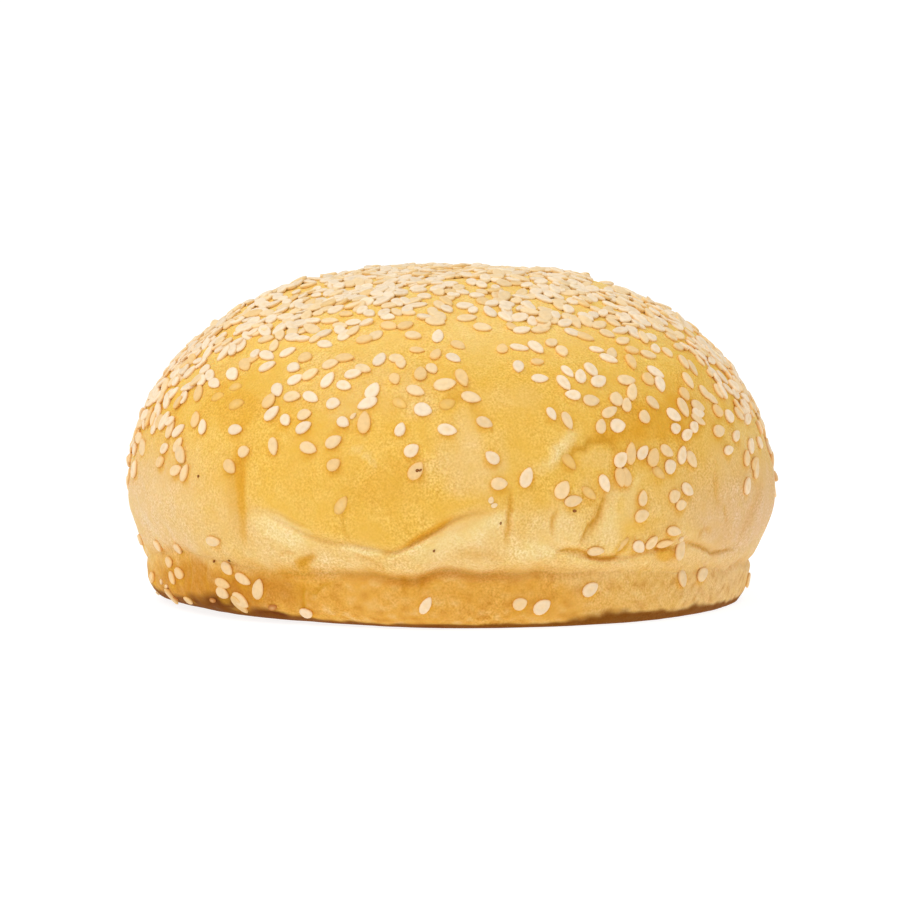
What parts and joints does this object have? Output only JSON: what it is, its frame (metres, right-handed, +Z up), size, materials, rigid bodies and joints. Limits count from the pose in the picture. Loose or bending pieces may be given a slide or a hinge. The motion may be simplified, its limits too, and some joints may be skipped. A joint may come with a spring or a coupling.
{
  "type": "sesame burger bun",
  "caption": "Whole round soft bread bun with a domed golden top strewn with sesame seeds, creased sides and a flat underside.",
  "frame": {"origin": "middle of the flat underside", "axes": "+Z up through the crown; the side seen in the picture faces -Y and its right side is +X"},
  "size_m": [0.104, 0.103, 0.0529],
  "materials": {
    "crust": "soft baked crust, golden yellow with a faint egg-wash sheen, paler in the stretched folds and browner at the foot",
    "sesame": "hulled sesame seeds, cream with a peach tinge, satin, some toasted golden"
  },
  "bodies": {
    "root": {"bun": "crust"}
  },
  "joints": []
}
